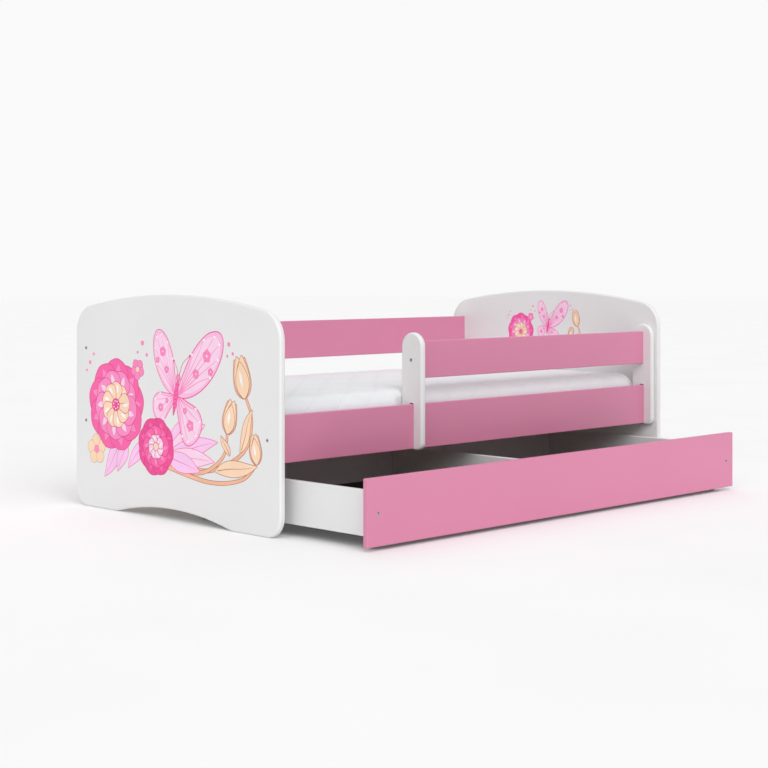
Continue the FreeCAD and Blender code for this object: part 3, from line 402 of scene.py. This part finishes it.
def inflate(cover, quilting):
    """Puff the cover out between its seams by cloth simulation, and limit how far it moves."""
    pins = cover.vertex_groups.new(name="seams")
    for index, (u, v, drop) in enumerate(quilting):
        on_seam = seam_distance(u, v) < SEAM_REACH and drop <= BORDER_DROP
        if on_seam or drop in (BORDER_DROP, MATTRESS_CELLS[AXIS_Z]):
            pins.add([index], 1.0, "REPLACE")
    start = [vertex.co.copy() for vertex in cover.data.vertices]
    cloth = cover.modifiers.new("cover", "CLOTH")
    settings = cloth.settings
    settings.quality = 5
    settings.mass = 0.3
    settings.tension_stiffness = 5
    settings.compression_stiffness = 5
    settings.shear_stiffness = 2
    settings.bending_stiffness = 0.1
    settings.vertex_group_mass = "seams"
    settings.use_pressure = True
    settings.uniform_pressure_force = PUFF_PRESSURE
    settings.effector_weights.gravity = 0
    cloth.collision_settings.use_collision = False
    cloth.collision_settings.use_self_collision = False
    for frame_number in range(1, PUFF_FRAMES + 1):
        SCENE.frame_set(frame_number)
    swollen = cover.evaluated_get(bpy.context.evaluated_depsgraph_get()).to_mesh()
    moved = [vertex.co - rest for vertex, rest in zip(swollen.vertices, start)]
    cover.modifiers.remove(cloth)
    SCENE.frame_set(1)
    for vertex, rest, move in zip(cover.data.vertices, start, moved):
        if move.length > 0:
            move = move.normalized() * PUFF_LIMIT * math.tanh(move.length / PUFF_LIMIT)
        vertex.co = rest + move


def subdivide(cover, quilting):
    """One smooth subdivision, with the quilting data carried to the new points."""
    mesh = cover.data
    data = mesh.attributes.new("quilt", "FLOAT_VECTOR", "POINT")
    for item, (u, v, drop) in zip(data.data, quilting):
        item.vector = (u, v, drop)
    smooth = cover.modifiers.new("smooth", "SUBSURF")
    smooth.levels = 1
    depsgraph = bpy.context.evaluated_depsgraph_get()
    fine = bpy.data.meshes.new_from_object(cover.evaluated_get(depsgraph))
    cover.modifiers.clear()
    cover.vertex_groups.clear()
    cover.data = fine
    fine.name = "mattress_cover"


def sew(cover):
    """Draw the seams in, pucker the cloth beside them and press it in at the guard posts."""
    mesh = cover.data
    normals = [vertex.normal.copy() for vertex in mesh.vertices]
    seams = mesh.attributes["quilt"].data
    posts = [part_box(node) for node in ("guard_post_left", "guard_post_right")]
    for vertex, normal, seam in zip(mesh.vertices, normals, seams):
        u, v, drop = seam.vector
        away = seam_distance(u, v) * QUILT_STEP
        weight = quilt_weight(drop)
        sunk = SEAM_DEPTH * math.exp(-((away / SEAM_WIDTH) ** 2)) * weight
        wrinkle = noise.noise(vertex.co * PUCKER_SCALE) * PUCKER_HEIGHT
        pucker = wrinkle * math.exp(-away / PUCKER_REACH) * weight
        sway = noise.noise(vertex.co * SWAY_SCALE + SWAY_PLACE) * SWAY_HEIGHT
        vertex.co += normal * (pucker - sunk + sway)
        for post_low, post_high in posts:
            reach = max(post_low.x - vertex.co.x, vertex.co.x - post_high.x, 0.0)
            near = 1.0 - smooth_step(POST_DENT_START, POST_DENT_REACH, reach)
            face = post_high.y + POST_CLEARANCE
            if near > 0 and vertex.co.y < face:
                vertex.co.y += (face - vertex.co.y) * near
        vertex.co.z = max(vertex.co.z, MATTRESS_LOW.z + UNDERSIDE_GAP)
        vertex.co.x = min(max(vertex.co.x, MATTRESS_LOW.x), MATTRESS_HIGH.x)
    for polygon in mesh.polygons:
        polygon.use_smooth = True


def mattress_fabric():
    """White knitted cover: fine loops, a soft nap, painted cool shade in the seam hollows and a stitch
    line.
    """
    graph = Graph("mattress_knit", roughness=0.92, sheen=0.35)
    graph.shader.inputs["Sheen Roughness"].default_value = 0.6
    quilt = graph.add("ShaderNodeAttribute", attribute_name="quilt")
    parts = graph.add("ShaderNodeSeparateXYZ")
    graph.tree.links.new(quilt.outputs["Vector"], parts.inputs["Vector"])
    u, v, drop = (parts.outputs[name] for name in "XYZ")
    distances = []
    for operation, shift in zip(("ADD", "SUBTRACT"), QUILT_SHIFT):
        shifted = graph.math("SUBTRACT", graph.math(operation, u, v), shift)
        turns = graph.math("DIVIDE", shifted, QUILT_CELLS)
        distances.append(graph.math("PINGPONG", turns, 0.5))
    seam = graph.math("MINIMUM", *distances)
    top = graph.remap(drop, 1.0, 0.0, BORDER_DROP - 1, BORDER_DROP + 1)
    # Painted shade: within a tenth of a pitch of each seam, the cover's colour is darkened towards a
    # cool grey.
    seam_painted_shade = graph.math("MULTIPLY", graph.remap(seam, 1.0, 0.0, 0.0, 0.10), top)
    thread = graph.math("MULTIPLY", graph.remap(seam, 1.0, 0.0, 0.008, 0.016), top)
    knit = graph.noise(620.0, detail=2.0)
    clouds = graph.noise(9.0, detail=3.0)
    tone = graph.ramp(clouds, ((0.3, (0.745, 0.765, 0.785)), (0.7, (0.785, 0.80, 0.81))))
    speck = graph.mix(graph.remap(knit, 0.0, 0.35, 0.35, 0.65), tone, (0.69, 0.71, 0.73))
    seam_shaded_tone = graph.mix(graph.math("MULTIPLY", seam_painted_shade, 0.18), speck, (0.60, 0.61, 0.66))
    colour = graph.mix(graph.math("MULTIPLY", thread, 0.7), seam_shaded_tone, (0.88, 0.88, 0.88))
    fine = graph.bump(knit, 0.35, 0.0006)
    normal = graph.bump(graph.math("MULTIPLY", thread, -1.0), 0.5, 0.001, under=fine)
    return graph.finish(colour, None, normal)


def add_mattress():
    """The soft cover that takes the plain mattress solid's place."""
    cover, quilting = mattress_form()
    inflate(cover, quilting)
    subdivide(cover, quilting)
    sew(cover)
    cover.data.materials.append(mattress_fabric())
    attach(cover, "frame")
    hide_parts("mattress")


add_mattress()


# ---------------------------------------------------------------- printed artwork
# A made-up picture of blossoms, tulips and a butterfly on the panels' faces that look towards -X.
# It is drawn in millimetres: across to the right from the bed's middle, and up from the floor.
# Angles are in radians, and widths are those of the drawn lines.

PRINT_THICKNESS = 0.0003              # how far the print stands proud of the panel
PRINT_SINK = 0.0002                   # and how far its back is sunk in
MERGE_DISTANCE = 0.01                 # points of the drawing nearer than this become one, in mm
KEEP_INSIDE = 1                       # the triangulation's mode that fills outlines only


def srgb(red, green, blue):
    """A screen colour, 0 to 255, as the linear colour the shader takes."""
    values = (red / 255, green / 255, blue / 255)
    return tuple(Color(values).from_srgb_to_scene_linear())


INKS = {
    "magenta_line": srgb(214, 36, 122),
    "hot_pink": srgb(252, 92, 168),
    "rose_pink": srgb(255, 138, 196),
    "deep_pink": srgb(238, 62, 146),
    "pale_pink": srgb(255, 214, 238),
    "wing_pink": srgb(255, 190, 228),
    "lilac_pink": srgb(250, 200, 240),
    "peach": srgb(255, 218, 184),
    "peach_shade": srgb(246, 186, 150),
    "brown_line": srgb(178, 108, 92),
    "white_ink": srgb(255, 250, 252),
}


def ink(name, colour):
    """Printed film: a fine dot mottle, slow tone drift and a satin face."""
    graph = Graph("ink_" + name, coat=0.1)
    dots = graph.noise(700.0, detail=1.0)
    drift = graph.noise(11.0, detail=2.0)
    tone = graph.ramp(drift, ((0.3, shade(colour, 0.93)), (0.7, shade(colour, 1.04))))
    speck = graph.mix(graph.remap(dots, 0.0, 0.25, 0.4, 0.7), tone, shade(colour, 0.9))
    roughness = graph.remap(drift, 0.32, 0.42)
    return graph.finish(speck, roughness, graph.bump(dots, 0.1, 0.00004))


INK_MATERIALS = {name: ink(name, colour) for name, colour in INKS.items()}


def curve_through(points, steps=6, closed=True):
    """A smooth line through a few points, closed or open."""
    count = len(points)
    knots = [Vector(point) for point in points]
    line = []
    for i in range(count if closed else count - 1):
        if closed:
            a, b, c, d = (knots[(i + k) % count] for k in (-1, 0, 1, 2))
        else:
            a, b, c, d = (knots[min(max(i + k, 0), count - 1)] for k in (-1, 0, 1, 2))
        for step in range(steps):
            t = step / steps
            line.append(0.5 * (2 * b + (c - a) * t + (2 * a - 5 * b + 4 * c - d) * t * t
                               + (3 * b - 3 * c + d - a) * t ** 3))
    if not closed:
        line.append(knots[-1])
    return line


def grown(outline, amount):
    """The outline moved outwards by an amount, for the line drawn around a shape."""
    moved = []
    count = len(outline)
    for i in range(count):
        along = (outline[(i + 1) % count] - outline[i - 1]).normalized()
        moved.append(outline[i] + Vector((along.y, -along.x)) * amount)
    return moved


def area_of(outline):
    """The signed area inside an outline, positive when it runs anticlockwise."""
    return sum(a.x * b.y - b.x * a.y for a, b in zip(outline, outline[1:] + outline[:1])) / 2


def blade(root, angle, length, width, fullness=1.0, bend=0.0, roundness=1.0, steps=12):
    """A leaf or petal from its root.

    Fullness over 1 puts its widest place nearer the tip, and roundness under 1 blunts it.
    """
    root = Vector(root)
    along = Vector((math.cos(angle), math.sin(angle)))
    side = Vector((-along.y, along.x))
    left = []
    right = []
    for step in range(steps + 1):
        t = (1 - math.cos(math.pi * step / steps)) / 2
        spine = root + along * length * t + side * bend * length * math.sin(math.pi * t / 2) ** 2
        half = width / 2 * max(0.0, math.sin(math.pi * t ** fullness)) ** roundness
        right.append(spine - side * half)
        left.append(spine + side * half)
    return right + left[-2:0:-1]


def stroke(points, start_width, end_width, steps=6):
    """A tapered line through a few points, as a closed outline."""
    line = curve_through(points, steps, closed=False)
    left = []
    right = []
    for i, point in enumerate(line):
        along = (line[min(i + 1, len(line) - 1)] - line[max(i - 1, 0)]).normalized()
        half = (start_width + (end_width - start_width) * i / (len(line) - 1)) / 2
        side = Vector((-along.y, along.x)) * half
        right.append(point - side)
        left.append(point + side)
    return right + left[::-1]


def polar(centre, angle, distance):
    """The point at an angle and a distance from a centre."""
    return Vector(centre) + distance * Vector((math.cos(angle), math.sin(angle)))


def disc(centre, radius, steps=18):
    return [polar(centre, 2 * math.pi * step / steps, radius) for step in range(steps)]


class Picture:
    """Flat shapes laid one over another, in order."""

    def __init__(self):
        self.shapes = []

    def lay(self, outline, fill, line=None, line_width=1.8):
        """Add a shape on top of the others, with an outline around it if a line ink is given."""
        if area_of(outline) < 0:
            outline = outline[::-1]
        if line:
            self.shapes.append((grown(outline, line_width), line))
        self.shapes.append((outline, fill))

    def blossom(self, centre, radius, petals, rings, line, heart, turn=0.0):
        """Rings of petals, outermost first, each with a vein and a gleam, and a dotted heart."""
        heart_dots = 7
        for ring, (share, fill, gleam) in enumerate(rings):
            length = radius * share
            for petal in range(petals):
                angle = turn + 2 * math.pi * (petal + 0.5 * ring) / petals
                width = 2.5 * length * math.sin(math.pi / petals)
                self.lay(blade(centre, angle, length, width, fullness=1.7, roundness=0.62),
                         fill, line)
                root = polar(centre, angle - 0.16, length * 0.5)
                self.lay(blade(root, angle - 0.05, length * 0.4, width * 0.2, bend=0.05), gleam)
                vein = [polar(centre, angle, length * 0.2),
                        polar(centre, angle + 0.03, length * 0.5),
                        polar(centre, angle, length * 0.74)]
                self.lay(stroke(vein, 2.2, 0.7), line)
        self.lay(disc(centre, radius * 0.13), heart, line)
        for dot in range(heart_dots):
            angle = turn + 2 * math.pi * dot / heart_dots
            self.lay(disc(polar(centre, angle, radius * 0.085), radius * 0.018, 10), "white_ink")

    def little_flower(self, centre, radius, fill, line, heart, turn=0.0):
        """Five petals around a round heart."""
        petals = 5
        for petal in range(petals):
            angle = turn + 2 * math.pi * petal / petals
            outline = blade(centre, angle, radius, radius * 0.85, fullness=1.5, roundness=0.7,
                            steps=8)
            self.lay(outline, fill, line, 0.9)
        self.lay(disc(centre, radius * 0.26, 12), heart, line, 0.7)

    def tulip(self, base, angle, length):
        """A cup of five petals, drawn from the back to the front."""
        petals = ((0.36, 0.94, "peach_shade"), (-0.36, 0.94, "peach_shade"),
                  (0.17, 1.0, "peach"), (-0.17, 1.0, "peach"), (0.0, 0.86, "peach"))
        for turn, share, fill in petals:
            outline = blade(base, angle + turn, length * share, length * 0.46, fullness=0.85,
                            bend=-turn * 0.45, roundness=0.85)
            self.lay(outline, fill, "brown_line", 1.6)
        root = polar(base, angle + 0.1, length * 0.25)
        self.lay(blade(root, angle + 0.06, length * 0.42, length * 0.09), "white_ink")

    def leaf(self, root, angle, length, width, bend, fill, line):
        """A bent leaf with a rib along its middle."""
        self.lay(blade(root, angle, length, width, fullness=0.85, bend=bend), fill, line, 1.6)
        along = Vector((math.cos(angle), math.sin(angle)))
        side = Vector((-along.y, along.x))
        rib = []
        for t in (0.06, 0.35, 0.65, 0.9):
            bow = bend * length * math.sin(math.pi * t / 2) ** 2
            rib.append(Vector(root) + along * length * t + side * bow)
        self.lay(stroke(rib, 2.4, 0.6), line)

    def butterfly(self, centre, tilt, half_sizes):
        """Two pairs of veined wings on a slim body; half_sizes scales the left and right half."""
        upper = ((5, 8), (18, 60), (42, 118), (80, 165), (118, 182),
                 (140, 168), (142, 130), (122, 80), (85, 36), (40, 8))
        lower = ((5, 2), (42, -2), (84, -10), (106, -36), (98, -74),
                 (70, -98), (46, -90), (26, -55), (10, -22))
        turn = Matrix.Rotation(tilt, 2)
        for side, size in zip((-1, 1), half_sizes):

            def at(x, y):
                return Vector(centre) + turn @ Vector((side * x * size, y * size))

            def inset(points, share, towards):
                middle_x, middle_y = towards
                return [at(middle_x + (x - middle_x) * share, middle_y + (y - middle_y) * share)
                        for x, y in points]

            for wing, heart in ((lower, (60, -44)), (upper, (82, 95))):
                self.lay(curve_through(inset(wing, 1.0, heart)), "wing_pink", "deep_pink", 2.4 * size)
                self.lay(curve_through(inset(wing, 0.86, heart)), "pale_pink")
                for x, y in wing[2:-2]:
                    middle = at(x * 0.52 + heart[0] * 0.12, y * 0.52 + heart[1] * 0.12)
                    vein = [at(6, 3), middle, at(x * 0.97, y * 0.97)]
                    self.lay(stroke(vein, 3.0 * size, 1.2 * size), "rose_pink")
                    self.lay(disc(at(x * 0.93, y * 0.93), 3.4 * size, 12), "white_ink")
            wing_flowers = ((92, 120, 15), (62, 70, 11), (112, 88, 9), (66, -52, 13), (40, -24, 7))
            for x, y, radius in wing_flowers:
                self.little_flower(at(x, y), radius * size, "rose_pink", "deep_pink", "pale_pink",
                                   turn=x)
            self.lay(stroke([at(2, 50), at(10, 82), at(30, 104)], 2.2, 1.2), "magenta_line")
            self.lay(disc(at(31, 105), 3.2, 10), "magenta_line")

        def body_at(y):
            return Vector(centre) + turn @ Vector((0, y))

        body = blade(body_at(-52), tilt + math.pi / 2, 100, 15, fullness=1.1, roundness=0.7)
        self.lay(body, "hot_pink", "magenta_line", 1.6)
        half_ring = Vector((5.2, 0))
        for y in (-30, -18, -6, 6, 18):
            ring = [body_at(y) - half_ring, body_at(y - 2.5), body_at(y) + half_ring]
            self.lay(stroke(ring, 1.6, 1.6, 3), "magenta_line")
        self.lay(disc(body_at(52), 8), "rose_pink", "magenta_line", 1.6)


def meadow():
    """The picture: a big blossom on the left, a butterfly above the middle, tulips on the right."""
    picture = Picture()
    low_leaves = (((-215, 215), 3.95, 150, 52, 0.12),
                  ((-200, 200), 4.35, 96, 44, -0.1),
                  ((-110, 215), 4.05, 120, 40, -0.1))
    for root, angle, length, width, bend in low_leaves:
        picture.leaf(root, angle, length, width, bend, "lilac_pink", "deep_pink")
    stems = (((-40, 168), (150, 148), (300, 205), (338, 290), (308, 362)),
             ((-40, 160), (120, 140), (222, 190), (240, 262)),
             ((-40, 150), (160, 120), (300, 138), (362, 190)))
    for points in stems:
        picture.lay(stroke(points, 11, 6, 10), "peach_shade", "brown_line", 1.5)
    picture.leaf((190, 150), 0.30, 170, 44, -0.14, "peach", "brown_line")
    picture.leaf((292, 208), 0.95, 120, 34, 0.22, "peach", "brown_line")
    picture.leaf((250, 196), 2.0, 60, 22, 0.2, "peach", "brown_line")
    picture.tulip((310, 348), 1.78, 112)
    picture.tulip((240, 252), 1.34, 92)
    picture.tulip((358, 182), 1.72, 78)
    fan = ((0.72, 150, "lilac_pink"), (0.40, 190, "pale_pink"), (0.12, 225, "lilac_pink"),
           (-0.12, 205, "pale_pink"), (-0.34, 150, "lilac_pink"))
    for angle, length, fill in fan:
        picture.leaf((-20, 178), angle, length, 54, 0.10, fill, "deep_pink")
    picture.butterfly((22, 338), -0.21, (0.88, 1.16))
    big = ((1.0, "hot_pink", "rose_pink"),
           (0.76, "rose_pink", "pale_pink"),
           (0.50, "peach", "white_ink"))
    picture.little_flower((-345, 168), 44, "peach", "brown_line", "rose_pink", 0.4)
    picture.blossom((-252, 300), 130, 9, big, "magenta_line", "deep_pink", 0.15)
    small = ((1.0, "deep_pink", "hot_pink"),
             (0.72, "hot_pink", "rose_pink"),
             (0.42, "pale_pink", "white_ink"))
    picture.blossom((-66, 196), 80, 8, small, "magenta_line", "peach", 0.5)
    picture.little_flower((-150, 404), 30, "rose_pink", "magenta_line", "peach", 0.9)
    dots = (((-128, 478), 6), ((-108, 446), 4), ((-150, 452), 3.5),
            ((246, 486), 5), ((262, 462), 3.5), ((240, 455), 3),
            ((-378, 415), 5), ((-360, 440), 3.5), ((-394, 392), 3))
    for centre, radius in dots:
        picture.lay(disc(centre, radius, 14), "rose_pink", "deep_pink", 0.8)
    return picture


def print_picture(name, picture, face_x, scale, shift):
    """One thin sheet on a face that looks towards -X, with only the topmost ink at each place."""
    points = []
    faces = []
    for outline, _ in picture.shapes:
        faces.append(list(range(len(points), len(points) + len(outline))))
        points.extend(outline)
    flat, _, triangles, _, _, sources = geometry.delaunay_2d_cdt(
        points, [], faces, KEEP_INSIDE, MERGE_DISTANCE)
    inks = sorted({fill for _, fill in picture.shapes})
    sheet = bmesh.new()
    places = [(BED_MIDDLE_Y - (shift[0] + scale[0] * point.x) * MM,
               (shift[1] + scale[1] * point.y) * MM) for point in flat]
    front = [sheet.verts.new((face_x - PRINT_THICKNESS, y, z)) for y, z in places]
    back = [sheet.verts.new((face_x + PRINT_SINK, y, z)) for y, z in places]
    edges = {}
    for triangle, source in zip(triangles, sources):
        if not source:
            continue
        colour = inks.index(picture.shapes[max(source)][1])
        sheet.faces.new([front[i] for i in triangle]).material_index = colour
        sheet.faces.new([back[i] for i in reversed(triangle)]).material_index = colour
        for a, b in zip(triangle, triangle[1:] + triangle[:1]):
            edges[(a, b)] = colour
    for (a, b), colour in edges.items():
        if (b, a) not in edges:
            sheet.faces.new((front[b], front[a], back[a], back[b])).material_index = colour
    loose = [vertex for vertex in sheet.verts if not vertex.link_faces]
    bmesh.ops.delete(sheet, geom=loose, context="VERTS")
    mesh = bpy.data.meshes.new(name)
    sheet.to_mesh(mesh)
    sheet.free()
    for colour in inks:
        mesh.materials.append(INK_MATERIALS[colour])
    piece = bpy.data.objects.new(name, mesh)
    SCENE.collection.objects.link(piece)
    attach(piece, "frame")


picture = meadow()
print_picture("print_left_end", picture, LEFT_PANEL_LOW.x, (1.0, 1.0), (0.0, 0.0))
print_picture("print_right_end", picture, RIGHT_PANEL_LOW.x, (0.44, 0.5), (-16.0, 318.0))


# ---------------------------------------------------------------- floor, lights and camera


FLOOR_HALF = 30.0
CAMERA_LENS = 74.74
CAMERA_PLACE = Vector((-3.473, BED_MIDDLE_Y - 3.462, 0.6724))
CAMERA_HEADING = 44.92 - 90           # degrees from looking along +Y, towards +X
CAMERA_SHIFT = -0.1448
ROOM_LIGHT = 0.45                     # how strongly the white room lights the bed
ROOM_SEEN = 0.95                      # how bright it looks behind it
LIGHTS = (                            # name, azimuth, elevation, share and spread
    ("front_light", -22, 36, 0.36, 40),
    ("left_light", -68, 33, 0.20, 40),
    ("top_light", -30, 80, 0.14, 60),
    ("rear_light", 140, 50, 0.14, 50),
)


def floor_material():
    """Pale studio floor with a slight glow of its own and a hardly visible cloudiness."""
    graph = Graph("studio_floor", roughness=0.9)
    graph.shader.inputs["Emission Color"].default_value = (1, 1, 1, 1)
    graph.shader.inputs["Emission Strength"].default_value = 0.07
    cloud = graph.noise(1.5, detail=2.0)
    tone = graph.ramp(cloud, ((0.3, (0.86, 0.86, 0.86)), (0.7, (0.88, 0.88, 0.88))))
    return graph.finish(tone)


def add_floor():
    mesh = bpy.data.meshes.new("floor")
    corners = [(x * FLOOR_HALF, y * FLOOR_HALF, 0) for x, y in ((-1, -1), (1, -1), (1, 1), (-1, 1))]
    mesh.from_pydata(corners, [], [(0, 1, 2, 3)])
    floor = bpy.data.objects.new("floor", mesh)
    SCENE.collection.objects.link(floor)
    mesh.materials.append(floor_material())


def add_world():
    """An even white room around the bed."""
    world = bpy.data.worlds.new("studio")
    SCENE.world = world
    world.use_nodes = True
    tree = world.node_tree
    background = tree.nodes["Background"]
    background.inputs["Color"].default_value = (1, 1, 1, 1)
    path = tree.nodes.new("ShaderNodeLightPath")
    strength = tree.nodes.new("ShaderNodeMapRange")
    strength.inputs["To Min"].default_value = ROOM_LIGHT
    strength.inputs["To Max"].default_value = ROOM_SEEN
    tree.links.new(path.outputs["Is Camera Ray"], strength.inputs["Value"])
    tree.links.new(strength.outputs["Result"], background.inputs["Strength"])


def add_soft_sun(name, azimuth, elevation, share, spread):
    """Wide, even light from one side; share is its part of full white.

    Azimuth 0 comes from -Y and -90 from -X. Azimuth, elevation and spread are in degrees.
    """
    light = bpy.data.lights.new(name, "SUN")
    light.energy = share * math.pi
    light.angle = math.radians(spread)
    sun = bpy.data.objects.new(name, light)
    SCENE.collection.objects.link(sun)
    turn, rise = math.radians(azimuth), math.radians(elevation)
    source = Vector((math.sin(turn) * math.cos(rise), -math.cos(turn) * math.cos(rise), math.sin(rise)))
    sun.rotation_euler = source.to_track_quat("Z", "Y").to_euler()


def add_camera():
    """A level camera off the left front corner, with the view shifted down to the bed."""
    camera = bpy.data.cameras.new("camera")
    camera.sensor_width = 36.0
    camera.lens = CAMERA_LENS
    camera.shift_y = CAMERA_SHIFT
    camera.clip_end = 100.0
    view = bpy.data.objects.new("camera", camera)
    SCENE.collection.objects.link(view)
    view.location = CAMERA_PLACE
    view.rotation_euler = (math.radians(90), 0, math.radians(CAMERA_HEADING))
    SCENE.camera = view


add_floor()
add_world()
for light in LIGHTS:
    add_soft_sun(*light)
add_camera()
SCENE.view_settings.view_transform = "Standard"
